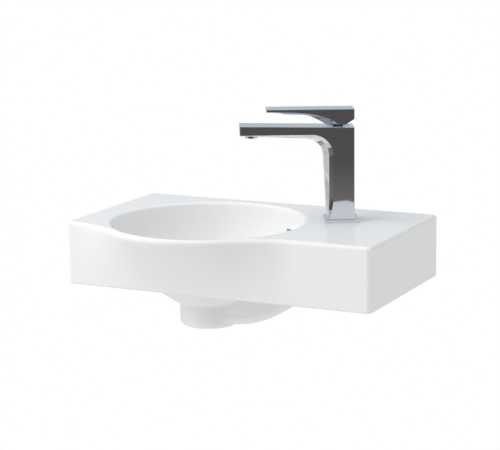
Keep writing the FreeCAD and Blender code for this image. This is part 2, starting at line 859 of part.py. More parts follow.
def make_waste():
    tube = turned_body(
        "waste_tube",
        [
            ("tail_bore_radius", TAIL_FOOT),
            ("outlet_radius", TAIL_FOOT),
            ("outlet_radius", OUTLET_TOP),
            ("tail_radius", OUTLET_TOP),
            ("tail_radius", FLANGE_FOOT),
            ("flange_radius", FLANGE_FOOT),
            ("flange_radius", FLANGE_TOP + " - flange_lip"),
            ("flange_radius - flange_lip", FLANGE_TOP),
            ("tail_bore_radius + flange_lip", FLANGE_TOP),
            ("tail_bore_radius", FLANGE_TOP + " - flange_lip"),
        ],
    )
    across = ("-tail_radius - 1", "tail_radius + 1")
    narrow = ("-tail_slot_width / 2", "tail_slot_width / 2")
    middle = f"-({CHAMBER_FOOT}) + chamber_height / 2"
    upward = (f"{middle} - tail_slot_height / 2", f"{middle} + tail_slot_height / 2")
    slots = [
        part_box("slots_left_right", across, narrow, upward),
        part_box("slots_front_back", narrow, across, upward),
    ]
    DOC.recompute()
    keep_in_bowl(part_cut("waste_body", tube, part_fuse("overflow_slots", slots)))

    seal_corners = ring_corners(TAIL_OUTSIDE, "flange_radius - 1", RECESS_FLOOR, FLANGE_FOOT)
    keep_in_bowl(turned_body("waste_flange_seal", seal_corners))
    lower_corners = ring_corners(TAIL_OUTSIDE, "backnut_radius", LOWER_SEAL_FOOT, f"-({LOWER_SEAT_FOOT})")
    keep_in_bowl(turned_body("waste_lower_seal", lower_corners))
    washer_corners = ring_corners(TAIL_OUTSIDE, "backnut_radius - 1", SLIP_WASHER_FOOT, LOWER_SEAL_FOOT)
    keep_in_bowl(turned_body("waste_slip_washer", washer_corners))

    nut_corners = ring_corners(TAIL_OUTSIDE, "backnut_radius", BACKNUT_FOOT, SLIP_WASHER_FOOT)
    nut = turned_body("waste_backnut", nut_corners)
    notch = new_sketch(nut, "backnut_notch", "XY_Plane", SLIP_WASHER_FOOT)
    add_box_outline(
        notch, f"backnut_radius - {BACKNUT_NOTCH_DEPTH}", "backnut_radius + 1",
        "-backnut_notch / 2", "backnut_notch / 2",
    )
    pocket = add_pocket(nut, notch, "backnut_thickness + 1")
    add_ring_of(nut, pocket, BACKNUT_NOTCHES)
    keep_in_bowl(nut)


# ---------------------------------------------------------------------------------------------
# The push-open plug, drawn open, and the guide in the waste that catches its stem
# ---------------------------------------------------------------------------------------------

PLUG_FOOT = f"{FLANGE_TOP} + plug_seat_gap + plug_travel + plug_seal_thickness"
GUIDE_TOP = f"{FLANGE_TOP} - guide_below_flange"
GUIDE_FOOT = f"{FLANGE_TOP} - guide_below_flange - guide_height"
STEM_BORE_FLOOR = f"{GUIDE_FOOT} + guide_wall"


def make_plug():
    guide = turned_body(
        "plug_guide",
        [
            ("0", GUIDE_FOOT),
            ("guide_radius", GUIDE_FOOT),
            ("guide_radius", GUIDE_TOP),
            ("plug_stem_radius + running_gap", GUIDE_TOP),
            ("plug_stem_radius + running_gap", STEM_BORE_FLOOR),
            ("0", STEM_BORE_FLOOR),
        ],
    )
    rim = new_sketch(guide, "guide_rim", "XY_Plane", GUIDE_TOP)
    add_circle(rim, "tail_bore_radius - thread_clearance")
    add_circle(rim, "tail_bore_radius - guide_wall")
    half_arm = ("-guide_arm_width / 2", "guide_arm_width / 2")
    ahead = ("guide_radius - guide_wall", "tail_bore_radius - guide_wall / 2")
    behind = ("guide_wall / 2 - tail_bore_radius", "guide_wall - guide_radius")
    arms_across = new_sketch(guide, "guide_arms_across", "XY_Plane", GUIDE_TOP)
    arms_along = new_sketch(guide, "guide_arms_along", "XY_Plane", GUIDE_TOP)
    for reach in (ahead, behind):
        add_box_outline(arms_across, *reach, *half_arm)
        add_box_outline(arms_along, *half_arm, *reach)
    guide.AllowCompound = True
    for sketch in (rim, arms_across, arms_along):
        add_pad(guide, sketch, "guide_arm_height", downwards=True)
    keep_in_bowl(guide)

    cap = turned_body(
        "plug_cap",
        [
            ("0", PLUG_FOOT),
            ("plug_radius - plug_edge", PLUG_FOOT),
            ("plug_radius", PLUG_FOOT + " + plug_edge"),
            ("plug_radius", PLUG_FOOT + " + plug_thickness - plug_edge"),
            ("plug_radius - plug_edge", PLUG_FOOT + " + plug_thickness"),
            ("0", PLUG_FOOT + " + plug_thickness + plug_crown"),
        ],
    )
    keep_in_bowl(cap)
    seal_foot = PLUG_FOOT + " - plug_seal_thickness"
    seal_corners = ring_corners("plug_seal_bore", "plug_seal_radius", seal_foot, PLUG_FOOT)
    keep_in_bowl(turned_body("plug_seal", seal_corners))
    stem_foot = f"{STEM_BORE_FLOOR} + plug_travel + guide_wall / 2"
    stem_corners = ring_corners("0", "plug_stem_radius", stem_foot, PLUG_FOOT)
    keep_in_bowl(turned_body("plug_stem", stem_corners))


# ---------------------------------------------------------------------------------------------
# The tap: base plate, column and spout in one casting, and what holds it to the deck
# ---------------------------------------------------------------------------------------------

ELBOW_CENTRES = {
    "": size("column_knee_front") + size("elbow_radius"),
    "_mid": size("column_mid_front") + size("elbow_mid_radius"),
    "_side": size("column_side_front") + size("elbow_side_radius"),
}


def spout_top(forward):
    """Height of the spout's flat top, which rises a little towards its tip."""
    length = size("spout_reach") + size("column_back")
    return size("column_top") + size("spout_rise") * (forward + size("column_back")) / length


def spout_underside(side=""):
    """The straight underside of the spout: its height at the elbow's centre, and its slope.
    side is "_side" for the outline of the tap's flat sides and "_mid" for the crease before them."""
    centre = ELBOW_CENTRES[side]
    tip_height = spout_top(size("spout_reach")) - size(f"spout{side}_tip_drop")
    elbow_height = spout_top(centre) - size(f"elbow{side}_drop")
    return elbow_height, (tip_height - elbow_height) / (size("spout_reach") - centre)



def tap_outline(across, side=""):
    """The outline of column and spout in an upright plane: back, top, tip, underside, elbow,
    column front, foot flare and foot."""
    radius = size(f"elbow{side}_radius")
    centre = ELBOW_CENTRES[side]
    front = centre - radius
    elbow_height, slope = spout_underside(side)
    stretch = math.hypot(1, slope)
    centre_height = elbow_height - radius * stretch
    turn = (math.atan2(1, -slope) + math.pi) / 2
    foot = size("plate_thickness")
    back = -size("column_back")
    reach = size("spout_reach")
    foot_front = size("column_foot_front")
    flare_top = size("column_flare_top")

    def at(forward, height):
        return Vector(forward, across, height)

    touch = at(centre - radius * slope / stretch, centre_height + radius / stretch)
    bend = at(centre + radius * math.cos(turn), centre_height + radius * math.sin(turn))
    if side:
        waist = at(front, flare_top)
        flare = (foot_front - front) / (flare_top - foot)
        flare_radius = (foot_front - front) * (1 + 1 / flare ** 2) / 2
        lean = math.atan(flare)
        low_waist = at(front + flare_radius * (1 - math.cos(lean)), flare_top - flare_radius * math.sin(lean))
        foot_curve = Part.Arc(waist, low_waist, at(foot_front, foot))
    else:
        share = (flare_top - foot) / (centre_height - foot)
        waist = at(foot_front + (front - foot_front) * share, flare_top)
        foot_curve = Part.LineSegment(waist, at(foot_front, foot))
    curves = [
        Part.LineSegment(at(back, foot), at(back, spout_top(back))),
        Part.LineSegment(at(back, spout_top(back)), at(reach, spout_top(reach))),
        Part.LineSegment(at(reach, spout_top(reach)), at(reach, elbow_height + slope * (reach - centre))),
        Part.LineSegment(at(reach, elbow_height + slope * (reach - centre)), touch),
        Part.Arc(touch, bend, at(front, centre_height)),
        Part.LineSegment(at(front, centre_height), waist),
        foot_curve,
        Part.LineSegment(at(foot_front, foot), at(back, foot)),
    ]
    return Part.Wire([curve.toShape() for curve in curves])


def way_between(name, radius, start, end):
    """A round way from one point to another."""
    run = end - start
    return part_shape(name, Part.makeCylinder(radius, run.Length, start, run))


def aerator_seat():
    """Height of the flat seat under the spout's tip that the aerator screws up against."""
    elbow_height, slope = spout_underside()
    forward = size("spout_reach") - size("aerator_from_tip") - size("aerator_radius")
    return elbow_height + slope * (forward - ELBOW_CENTRES[""]) + size("aerator_seat_depth")


def keep_on_aerator(piece):
    """A piece drawn about the aerator's axis, with the seat that it screws up against at height 0."""
    put(
        piece,
        "tap_right_of_middle + (spout_reach - aerator_from_tip) * cos(180 + tap_turn)",
        "-tap_from_wall + (spout_reach - aerator_from_tip) * sin(180 + tap_turn)",
        f"deck_above_fixings + {aerator_seat():.6f}",
        "180 + tap_turn",
    )
    SUB_PARTS.append(piece)


def tap_ways():
    """Every opening in the tap's casting, as one tool."""
    axis = "cartridge_from_plate_middle"
    seat = size("cartridge_seat")
    inlet_top = size("inlet_length") - size("spigot_depth")
    ways = [
        part_cylinder(
            "cartridge_chamber", "cartridge_radius + chamber_clearance",
            "column_top + spout_rise - cartridge_seat", axis, "0", "cartridge_seat",
        ),
        part_cylinder(
            "stud_hole", "stud_radius + thread_clearance", "stud_in_body + spigot_depth",
            "-stud_back", "0", "-spigot_depth",
        ),
    ]
    for name, side in (("left", 1), ("right", -1)):
        sideways = side * size("inlet_sideways")
        start = Vector(size("inlet_forward"), sideways, inlet_top - 1)
        port_angle = math.radians(120) * side
        port = Vector(
            size("cartridge_from_plate_middle") + size("port_circle_radius") * math.cos(port_angle),
            size("port_circle_radius") * math.sin(port_angle),
            seat + 1,
        )
        ways.append(way_between("waterway_" + name, size("waterway_radius"), start, port))
        ways.append(
            part_cylinder(
                "inlet_" + name, "inlet_radius", "inlet_length", "inlet_forward",
                "inlet_sideways" if side > 0 else "-inlet_sideways", "-spigot_depth",
            )
        )
    outlet_port = size("cartridge_from_plate_middle") + size("port_circle_radius")
    low = seat - size("outlet_way_below_seat")
    forward = size("outlet_way_forward")
    spout_height = size("spout_bore_height")
    aerator = size("spout_reach") - size("aerator_from_tip")
    radius = size("outlet_way_radius")
    ways += [
        way_between("outlet_drop", radius, Vector(outlet_port, 0, seat + 1), Vector(outlet_port, 0, low)),
        way_between("outlet_turn", radius, Vector(outlet_port, 0, low), Vector(forward, 0, low)),
        way_between("outlet_rise", radius, Vector(forward, 0, low), Vector(forward, 0, spout_height)),
        way_between(
            "spout_way", size("spout_bore_radius"),
            Vector(forward, 0, spout_height), Vector(aerator, 0, spout_height),
        ),
        part_cylinder(
            "aerator_socket", "aerator_thread_radius + thread_clearance", "aerator_depth",
            "spout_reach - aerator_from_tip", "0", f"{aerator_seat():.6f}",
        ),
        part_cylinder(
            "aerator_flange_space", "aerator_radius + aerator_seat_depth", "aerator_depth",
            "spout_reach - aerator_from_tip", "0", f"{aerator_seat():.6f} - aerator_depth",
        ),
    ]
    DOC.recompute()
    return part_fuse("tap_ways", ways)


def make_tap():
    half = size("tap_half_width")
    mid_half = size("column_half_mid")
    front_half = size("column_half_front")
    outlines = [
        tap_outline(-half, "_side"), tap_outline(-mid_half, "_mid"), tap_outline(-front_half),
        tap_outline(front_half), tap_outline(mid_half, "_mid"), tap_outline(half, "_side"),
    ]
    column = part_shape("column_and_spout", Part.makeLoft(outlines, True, True))
    soft_column = part_fillet(
        "soft_column_and_spout", column, "tap_edge_radius",
        lambda edge: edge.BoundBox.YLength < TOUCH
        and abs(edge.BoundBox.YMax) > half - TOUCH
        and edge.BoundBox.ZMax > size("plate_thickness") + 1,
    )
    spigot = part_cylinder(
        "spigot", "spigot_radius", "spigot_depth + plate_thickness + 1", low="-spigot_depth"
    )
    DOC.recompute()
    keep_on_tap(part_cut("tap_body", part_fuse("tap_casting", [soft_column, spigot]), tap_ways()))

    plate = new_body("tap_base_plate")
    square = new_sketch(plate, "plate_square")
    add_box_outline(square, "-plate_side / 2", "plate_side / 2", "-plate_side / 2", "plate_side / 2")
    add_circle(square, "spigot_radius + spigot_clearance")
    add_pad(plate, square, "plate_thickness")
    recess = new_sketch(plate, "gasket_recess")
    inner = "(plate_side / 2 - plate_rim)"
    add_box_outline(recess, f"-{inner}", inner, f"-{inner}", inner)
    add_pocket(plate, recess, "plate_gasket_thickness", upwards=True)
    add_rounding(
        plate, "Chamfer", "plate_edge_bevel",
        lambda edge: edge.BoundBox.ZMin > size("plate_thickness") - TOUCH and not is_circle(edge),
    )
    keep_on_tap(plate)

    gasket = new_body("tap_base_gasket")
    square = new_sketch(gasket, "gasket_square")
    add_box_outline(square, f"-{inner}", inner, f"-{inner}", inner)
    add_circle(square, "tap_hole_radius")
    add_pad(gasket, square, "plate_gasket_thickness")
    keep_on_tap(gasket)

    stud = new_body("tap_stud")
    section = new_sketch(stud, "stud_section", "XY_Plane", "-stud_below_deck")
    add_circle(section, "stud_radius", "-stud_back")
    add_pad(stud, section, "stud_below_deck + stud_in_body")
    add_rounding(stud, "Chamfer", "plate_edge_bevel", is_circle)
    keep_on_tap(stud)


# ---------------------------------------------------------------------------------------------
# The clamp that pulls the tap down, under the deck: a gasket and a washer, both open towards the
# front so that they slide in past the supply hoses, and a nut on the stud
# ---------------------------------------------------------------------------------------------

CLAMP_GASKET_TOP = "-deck_thickness"
CLAMP_WASHER_TOP = "-deck_thickness - clamp_gasket_thickness"
CLAMP_NUT_TOP = "-deck_thickness - clamp_gasket_thickness - clamp_washer_thickness"


def open_washer(label, radius, top, thickness):
    washer = new_body(label)
    disc = new_sketch(washer, label + "_disc", "XY_Plane", top)
    add_circle(disc, radius)
    add_circle(disc, "stud_radius + clamp_stud_clearance", "-stud_back")
    add_pad(washer, disc, thickness, downwards=True)
    mouth = new_sketch(washer, label + "_mouth", "XY_Plane", top)
    add_box_outline(
        mouth, "-clamp_slot_back", "clamp_radius + 1", "-clamp_slot_half_width", "clamp_slot_half_width"
    )
    add_pocket(washer, mouth, thickness + " + 1")
    keep_on_tap(washer)


def make_clamp():
    open_washer("clamp_gasket", "clamp_radius", CLAMP_GASKET_TOP, "clamp_gasket_thickness")
    open_washer("clamp_washer", "clamp_radius - 1", CLAMP_WASHER_TOP, "clamp_washer_thickness")
    nut = new_body("clamp_nut")
    hexagon = new_sketch(nut, "nut_hexagon", "XY_Plane", CLAMP_NUT_TOP)
    reach = "clamp_nut_flats / sqrt(3)"
    add_outline(
        hexagon,
        [(f"{reach} * cos({60 * step}) - stud_back", f"{reach} * sin({60 * step})") for step in range(6)],
    )
    add_circle(hexagon, "stud_radius + thread_clearance", "-stud_back")
    add_pad(nut, hexagon, "clamp_nut_height", downwards=True)
    keep_on_tap(nut)


# ---------------------------------------------------------------------------------------------
# The aerator, drawn about its own axis above and below the seat in the spout's tip
# ---------------------------------------------------------------------------------------------

AERATOR_FOOT = "-aerator_showing - aerator_seat_depth"
AERATOR_THREAD_TOP = "aerator_depth - aerator_gasket_thickness"
AERATOR_RINGS = 2


def make_aerator():
    bore = "aerator_thread_radius - aerator_wall"
    keep_on_aerator(
        turned_body(
            "aerator_housing",
            [
                (bore + " - aerator_lip", AERATOR_FOOT),
                ("aerator_radius", AERATOR_FOOT),
                ("aerator_radius", "0"),
                ("aerator_thread_radius", "0"),
                ("aerator_thread_radius", AERATOR_THREAD_TOP),
                (bore, AERATOR_THREAD_TOP),
                (bore, AERATOR_FOOT + " + aerator_lip"),
                (bore + " - aerator_lip", AERATOR_FOOT + " + aerator_lip"),
            ],
        )
    )
    insert = new_body("aerator_insert")
    mesh = new_sketch(insert, "insert_mesh", "XY_Plane", AERATOR_FOOT + " + aerator_lip")
    add_circle(mesh, bore + " - thread_clearance")
    add_circle(mesh, "aerator_hole_radius")
    for ring in range(1, AERATOR_RINGS + 1):
        for step in range(6 * ring):
            angle = 60 * step / ring
            reach = f"({bore} - aerator_lip) * {ring} / {AERATOR_RINGS + 0.5}"
            add_circle(mesh, "aerator_hole_radius", f"{reach} * cos({angle})", f"{reach} * sin({angle})")
    add_pad(insert, mesh, "aerator_insert_thickness")
    keep_on_aerator(insert)
    gasket_corners = ring_corners(
        bore + " - aerator_lip", "aerator_thread_radius", AERATOR_THREAD_TOP, "aerator_depth"
    )
    keep_on_aerator(turned_body("aerator_gasket", gasket_corners))


# ---------------------------------------------------------------------------------------------
# The mixer cartridge, drawn about its own axis: ceramic discs under a housing, a carrier that
# swivels in its neck, and the ring nut and dome ring that hold it in the column
# ---------------------------------------------------------------------------------------------

BASE_TOP = "cartridge_seat + cartridge_base_height"
FIXED_DISC_TOP = f"{BASE_TOP} + disc_thickness"
MOVING_DISC_TOP = f"{BASE_TOP} + 2 * disc_thickness"
SHOULDER_TOP = f"{BASE_TOP} + housing_height"
SHOULDER_FOOT = f"{SHOULDER_TOP} - housing_shoulder_thickness"
NECK_TOP = f"{SHOULDER_TOP} + housing_neck_height"
RING_NUT_TOP = f"{SHOULDER_TOP} + ring_nut_height"
CARRIER_FLANGE_TOP = f"{SHOULDER_FOOT} - running_gap"
CARRIER_TOP = "pivot_height + carrier_above_pivot"
PORT_ANGLES = (0, 120, 240)


def add_ports(sketch, radius):
    for angle in PORT_ANGLES:
        add_circle(sketch, radius, f"port_circle_radius * cos({angle})", f"port_circle_radius * sin({angle})")


def ported_disc(label, radius, foot, thickness):
    disc = new_body(label)
    sketch = new_sketch(disc, label + "_ports", "XY_Plane", foot)
    add_circle(sketch, radius)
    add_ports(sketch, "port_radius")
    add_pad(disc, sketch, thickness)
    return disc


def make_cartridge():
    base = ported_disc("cartridge_base", "cartridge_radius", "cartridge_seat", "cartridge_base_height")
    recesses = new_sketch(base, "seal_recesses", "XY_Plane", "cartridge_seat")
    add_ports(recesses, "port_seal_radius")
    add_pocket(base, recesses, "port_seal_thickness", upwards=True)
    keep_on_cartridge(base)

    rings = []
    for angle in PORT_ANGLES:
        place = (f"port_circle_radius * cos({angle})", f"port_circle_radius * sin({angle})", "cartridge_seat")
        ring = part_cylinder(f"seal_ring_{angle}", "port_seal_radius", "port_seal_thickness", *place)
        bore = part_cylinder(f"seal_bore_{angle}", "port_radius", "port_seal_thickness", *place)
        DOC.recompute()
        rings.append(part_cut(f"port_seal_{angle}", ring, bore))
    seals = DOC.addObject("Part::Compound", "cartridge_port_seals")
    seals.Links = rings
    keep_on_cartridge(seals)

    keep_on_cartridge(ported_disc("fixed_disc", "fixed_disc_radius", BASE_TOP, "disc_thickness"))
    moving = new_body("moving_disc")
    sketch = new_sketch(moving, "moving_disc_outline", "XY_Plane", FIXED_DISC_TOP)
    add_circle(sketch, "moving_disc_radius")
    add_pad(moving, sketch, "disc_thickness")
    mixing = new_sketch(moving, "mixing_recess", "XY_Plane", FIXED_DISC_TOP)
    add_circle(mixing, "port_circle_radius")
    add_pocket(moving, mixing, "disc_thickness / 2", upwards=True)
    keep_on_cartridge(moving)

    driver = new_body("disc_driver")
    sketch = new_sketch(driver, "driver_outline", "XY_Plane", MOVING_DISC_TOP)
    add_circle(sketch, "moving_disc_radius")
    long_half = "spindle_side / 2 + spindle_swing_gap"
    wide_half = "spindle_side / 2 + spindle_side_gap"
    add_box_outline(sketch, f"-({long_half})", long_half, f"-({wide_half})", wide_half)
    add_pad(driver, sketch, "driver_thickness")
    keep_on_cartridge(driver)

    neck_bore = "carrier_radius + running_gap"
    keep_on_cartridge(
        turned_body(
            "cartridge_housing",
            [
                ("cartridge_radius - housing_wall", BASE_TOP),
                ("cartridge_radius", BASE_TOP),
                ("cartridge_radius", SHOULDER_TOP),
                ("housing_neck_radius", SHOULDER_TOP),
                ("housing_neck_radius", NECK_TOP),
                (neck_bore, NECK_TOP),
                (neck_bore, SHOULDER_FOOT),
                ("cartridge_radius - housing_wall", SHOULDER_FOOT),
            ],
        )
    )

    flange_foot = f"{CARRIER_FLANGE_TOP} - carrier_flange_thickness"
    carrier = turned_body(
        "spindle_carrier",
        [
            ("0", flange_foot),
            ("carrier_flange_radius", flange_foot),
            ("carrier_flange_radius", CARRIER_FLANGE_TOP),
            ("carrier_radius", CARRIER_FLANGE_TOP),
            ("carrier_radius", CARRIER_TOP),
            ("0", CARRIER_TOP),
        ],
    )
    slot = new_sketch(carrier, "spindle_slot", "XY_Plane", CARRIER_TOP)
    add_box_outline(slot, "-carrier_slot_back", "carrier_slot_front", f"-({wide_half})", wide_half)
    add_pocket(carrier, slot, f"{CARRIER_TOP} - ({flange_foot}) + 1")
    foot_slot = new_sketch(carrier, "foot_slot", "XY_Plane", flange_foot)
    add_box_outline(foot_slot, "-carrier_slot_back", "carrier_foot_slot_front", f"-({wide_half})", wide_half)
    add_pocket(carrier, foot_slot, "carrier_flange_thickness", upwards=True)
    add_cross_hole(carrier, "carrier_pin_hole", "pivot_pin_radius + thread_clearance / 2")
    keep_on_cartridge(carrier)

    pin = new_body("spindle_pin")
    section = new_sketch(pin, "pin_section", "XZ_Plane")
    add_circle(section, "pivot_pin_radius", "0", "pivot_height")
    pad = add_pad(pin, section, "2 * carrier_radius - 4 * spindle_side_gap")
    pad.Midplane = True
    keep_on_cartridge(pin)

    spindle = new_body("spindle")
    square = new_sketch(spindle, "spindle_square", "XY_Plane", "pivot_height - spindle_below_pivot")
    half = "spindle_side / 2"
    add_box_outline(square, f"-{half}", half, f"-{half}", half)
    add_pad(spindle, square, "spindle_below_pivot + spindle_above_pivot")
    add_cross_hole(spindle, "spindle_pin_hole", "pivot_pin_radius + running_gap")
    keep_on_cartridge(spindle)

    nut_bore = "housing_neck_radius + chamber_clearance"
    nut_corners = ring_corners(nut_bore, "cartridge_radius", SHOULDER_TOP, RING_NUT_TOP)
    keep_on_cartridge(turned_body("cartridge_ring_nut", nut_corners))
    ring = part_cylinder("dome_ring_block", "dome_ring_radius", "dome_radius", low=RING_NUT_TOP)
    bore = part_cylinder("dome_ring_bore", "dome_bore", "dome_radius", low=RING_NUT_TOP)
    sphere = DOC.addObject("Part::Sphere", "dome")
    sphere.setExpression("Radius", bound("dome_radius"))
    put(sphere, up="pivot_height")
    DOC.recompute()
    keep_on_cartridge(part_cut("cartridge_dome_ring", part_common("domed_block", [ring, sphere]), bore))


def add_cross_hole(body, name, radius):
    """A hole at the pivot's height, right through the body from side to side."""
    sketch = new_sketch(body, name, "XZ_Plane")
    add_circle(sketch, radius, "0", "pivot_height")
    pocket = body.newObject("PartDesign::Pocket", name + "_pocket")
    pocket.Profile = sketch
    pocket.Midplane = True
    pocket.setExpression("Length", bound("2 * carrier_flange_radius"))
    before = body.Shape.Volume
    DOC.recompute()
    if body.Shape.Volume >= before:
        raise RuntimeError(f"{name} cuts nothing")


# ---------------------------------------------------------------------------------------------
# The lever: a flat blade whose foot thickens over the dome, held on the spindle by a grub screw
# ---------------------------------------------------------------------------------------------

def lever_outline(across, side=""):
    """The lever's outline in an upright plane: back, top, tip, underside, foot and rear bevel.
    side is "_side" for the outline of the lever's flat sides."""
    top = size("lever_top")
    back = -size("lever_back")
    reach = size("lever_reach")
    tip_top = top + size("lever_tip_rise")
    if side:
        foot_front = size("lever_side_foot_front")
        foot_front_height = top - size("lever_side_foot_drop") + size("lever_side_foot_rise")
        foot_back = -size("lever_side_foot_back")
        foot_height = top - size("lever_side_foot_drop")
        family = "lever_side"
    else:
        foot_front = size("lever_foot_front")
        foot_front_height = top - size("lever_foot_drop")
        foot_back = -size("lever_foot_back")
        foot_height = foot_front_height
        family = "lever_under"

    def at(forward, height):
        return Vector(forward, across, height)

    underside = Part.BezierCurve()
    underside.setPoles(
        [
            at(reach, tip_top - size("lever_tip_thickness")),
            at(size(family + "_pull_front"), top - size(family + "_pull_front_drop")),
            at(size(family + "_pull_back"), top - size(family + "_pull_back_drop")),
            at(foot_front, foot_front_height),
        ]
    )
    curves = [
        Part.LineSegment(at(back, top - size("lever_back_drop")), at(back, top)),
        Part.LineSegment(at(back, top), at(reach, tip_top)),
        Part.LineSegment(at(reach, tip_top), at(reach, tip_top - size("lever_tip_thickness"))),
        underside,
        Part.LineSegment(at(foot_front, foot_front_height), at(foot_back, foot_height)),
        Part.LineSegment(at(foot_back, foot_height), at(back, top - size("lever_back_drop"))),
    ]
    return Part.Wire([curve.toShape() for curve in curves])


def make_lever():
    half = size("lever_half_width")
    foot_half = size("lever_foot_half_width")
    outlines = [
        lever_outline(-half, "_side"), lever_outline(-foot_half),
        lever_outline(foot_half), lever_outline(half, "_side"),
    ]
    blade = part_shape("lever_blade", Part.makeLoft(outlines, True, True))
    soft_blade = part_fillet(
        "soft_lever_blade", blade, "lever_edge_radius",
        lambda edge: edge.BoundBox.ZMin > size("lever_top") - TOUCH
        and edge.BoundBox.XLength > size("lever_reach"),
    )
    axis = "cartridge_from_plate_middle"
    dome_space = DOC.addObject("Part::Sphere", "dome_space")
    dome_space.setExpression("Radius", bound("dome_radius + dome_gap"))
    put(dome_space, axis, "0", "pivot_height")
    half_socket = "(spindle_side / 2 + socket_clearance)"
    socket = part_box(
        "spindle_socket",
        (f"{axis} - {half_socket}", f"{axis} + {half_socket}"),
        (f"-{half_socket}", half_socket),
        ("pivot_height", "pivot_height + spindle_above_pivot + 2 * socket_clearance"),
    )
    screw_height = size("lever_top") - size("grub_screw_drop")
    spindle_back = size("cartridge_from_plate_middle") - size("spindle_side") / 2
    rear = -size("lever_back") - 1
    screw_end = spindle_back - size("grub_screw_length")
    screw_hole = way_between(
        "grub_screw_hole", size("grub_screw_radius") + size("thread_clearance"),
        Vector(rear, 0, screw_height), Vector(spindle_back, 0, screw_height),
    )
    cap_front = screw_end - size("index_cap_gap")
    cap_space = way_between(
        "index_cap_space", size("index_cap_radius") + size("thread_clearance"),
        Vector(rear, 0, screw_height), Vector(cap_front, 0, screw_height),
    )
    DOC.recompute()
    lever_spaces = part_fuse("lever_spaces", [dome_space, socket, screw_hole, cap_space])
    keep_on_tap(part_cut("lever", soft_blade, lever_spaces))

    screw = way_between(
        "grub_screw_blank", size("grub_screw_radius"),
        Vector(screw_end, 0, screw_height), Vector(spindle_back, 0, screw_height),
    )
    key_socket = way_between(
        "grub_screw_key", size("grub_socket_radius"),
        Vector(screw_end, 0, screw_height), Vector(screw_end + 2, 0, screw_height),
    )
    keep_on_tap(part_cut("lever_grub_screw", screw, key_socket))
    cap = way_between(
        "index_cap_blank", size("index_cap_radius"),
        Vector(rear, 0, screw_height), Vector(cap_front, 0, screw_height),
    )
    keep_on_tap(part_common("lever_index_cap", [cap, blade]))


make_basin()
make_waste()
make_plug()
make_tap()
make_clamp()
make_aerator()
make_cartridge()
make_lever()
DOC.recompute()

failed = [piece.Name for piece in DOC.Objects if {"Invalid", "Error"} & set(piece.State)]
failed += [piece.Label for piece in SUB_PARTS if piece.Shape.isNull() or not piece.Shape.isValid()]
if failed:
    raise RuntimeError("these did not come out whole: " + ", ".join(failed))

os.makedirs("parts", exist_ok=True)
for piece in SUB_PARTS:
    piece.Shape.exportStep(f"parts/{piece.Label}.step")
    box = piece.Shape.BoundBox
    print(
        f"{piece.Label}: {len(piece.Shape.Solids)} solid, {piece.Shape.Volume:.0f} mm3,"
        f" x {box.XMin:.1f} to {box.XMax:.1f}, y {box.YMin:.1f} to {box.YMax:.1f},"
        f" z {box.ZMin:.1f} to {box.ZMax:.1f}"
    )
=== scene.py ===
import math

import bpy
from mathutils import Matrix, Vector


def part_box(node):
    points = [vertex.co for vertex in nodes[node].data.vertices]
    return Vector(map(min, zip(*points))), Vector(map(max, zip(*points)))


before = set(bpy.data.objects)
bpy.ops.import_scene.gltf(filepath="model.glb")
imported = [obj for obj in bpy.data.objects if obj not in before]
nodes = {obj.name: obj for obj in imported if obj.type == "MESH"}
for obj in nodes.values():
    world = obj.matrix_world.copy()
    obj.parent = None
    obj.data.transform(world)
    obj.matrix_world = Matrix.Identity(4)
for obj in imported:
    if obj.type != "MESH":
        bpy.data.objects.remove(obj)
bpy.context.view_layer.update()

# ---------------------------------------------------------------------------------------------
# The basin: one casting of vitreous china, slip cast and fired under a thick white glaze.  The
# glaze pools a little unevenly and has a very slight ripple.  The wall face, the apron's foot and
# the boss's foot are wiped free of glaze before firing, so the raw clay shows there.
# ---------------------------------------------------------------------------------------------

GLAZE_WHITE = (0.94, 0.94, 0.94, 1)
GLAZE_POOLED = (0.92, 0.923, 0.926, 1)
RAW_CLAY = (0.74, 0.71, 0.66, 1)
CLAY_ROUGHNESS = 0.8

# Where the wiped faces are, each with a margin of about half a millimetre.
WALL_FACE = -0.0006
APRON_FOOT_LOW = -0.0454
APRON_FOOT_HIGH = -0.0446
BOSS_FOOT = -0.1026
FACES_DOWN = -0.95


def new_finish(name):
    """A material with its surface shader and the Object coordinates that its patterns read."""
    material = bpy.data.materials.new(name)
    material.use_nodes = True
    tree = material.node_tree
    surface = tree.nodes["Principled BSDF"]
    place = tree.nodes.new("ShaderNodeTexCoord").outputs["Object"]
    return material, tree, surface, place


def give_finish(material, *names):
    """The finish for whole CAD nodes."""
    for name in names:
        nodes[name].data.materials.clear()
        nodes[name].data.materials.append(material)


def build_uneven_skin():
    """Uneven gloss and a slight ripple, as a fired glaze, a plated casting and a moulding have."""
    skin = bpy.data.node_groups.new("uneven_skin", "ShaderNodeTree")
    for socket, in_out, kind in (
        ("Place", "INPUT", "Vector"),
        ("Patches per metre", "INPUT", "Float"),
        ("Glossiest", "INPUT", "Float"),
        ("Dullest", "INPUT", "Float"),
        ("Roughness", "OUTPUT", "Float"),
        ("Ripple", "OUTPUT", "Float"),
    ):
        skin.interface.new_socket(socket, in_out=in_out, socket_type="NodeSocket" + kind)
    given = skin.nodes.new("NodeGroupInput")
    result = skin.nodes.new("NodeGroupOutput")
    patches = skin.nodes.new("ShaderNodeTexNoise")
    patches.inputs["Detail"].default_value = 3
    skin.links.new(given.outputs["Place"], patches.inputs["Vector"])
    skin.links.new(given.outputs["Patches per metre"], patches.inputs["Scale"])
    gloss = skin.nodes.new("ShaderNodeMapRange")
    gloss.inputs["From Min"].default_value = 0.3
    gloss.inputs["From Max"].default_value = 0.7
    skin.links.new(patches.outputs["Fac"], gloss.inputs["Value"])
    skin.links.new(given.outputs["Glossiest"], gloss.inputs["To Min"])
    skin.links.new(given.outputs["Dullest"], gloss.inputs["To Max"])
    skin.links.new(gloss.outputs["Result"], result.inputs["Roughness"])
    skin.links.new(patches.outputs["Fac"], result.inputs["Ripple"])
    return skin


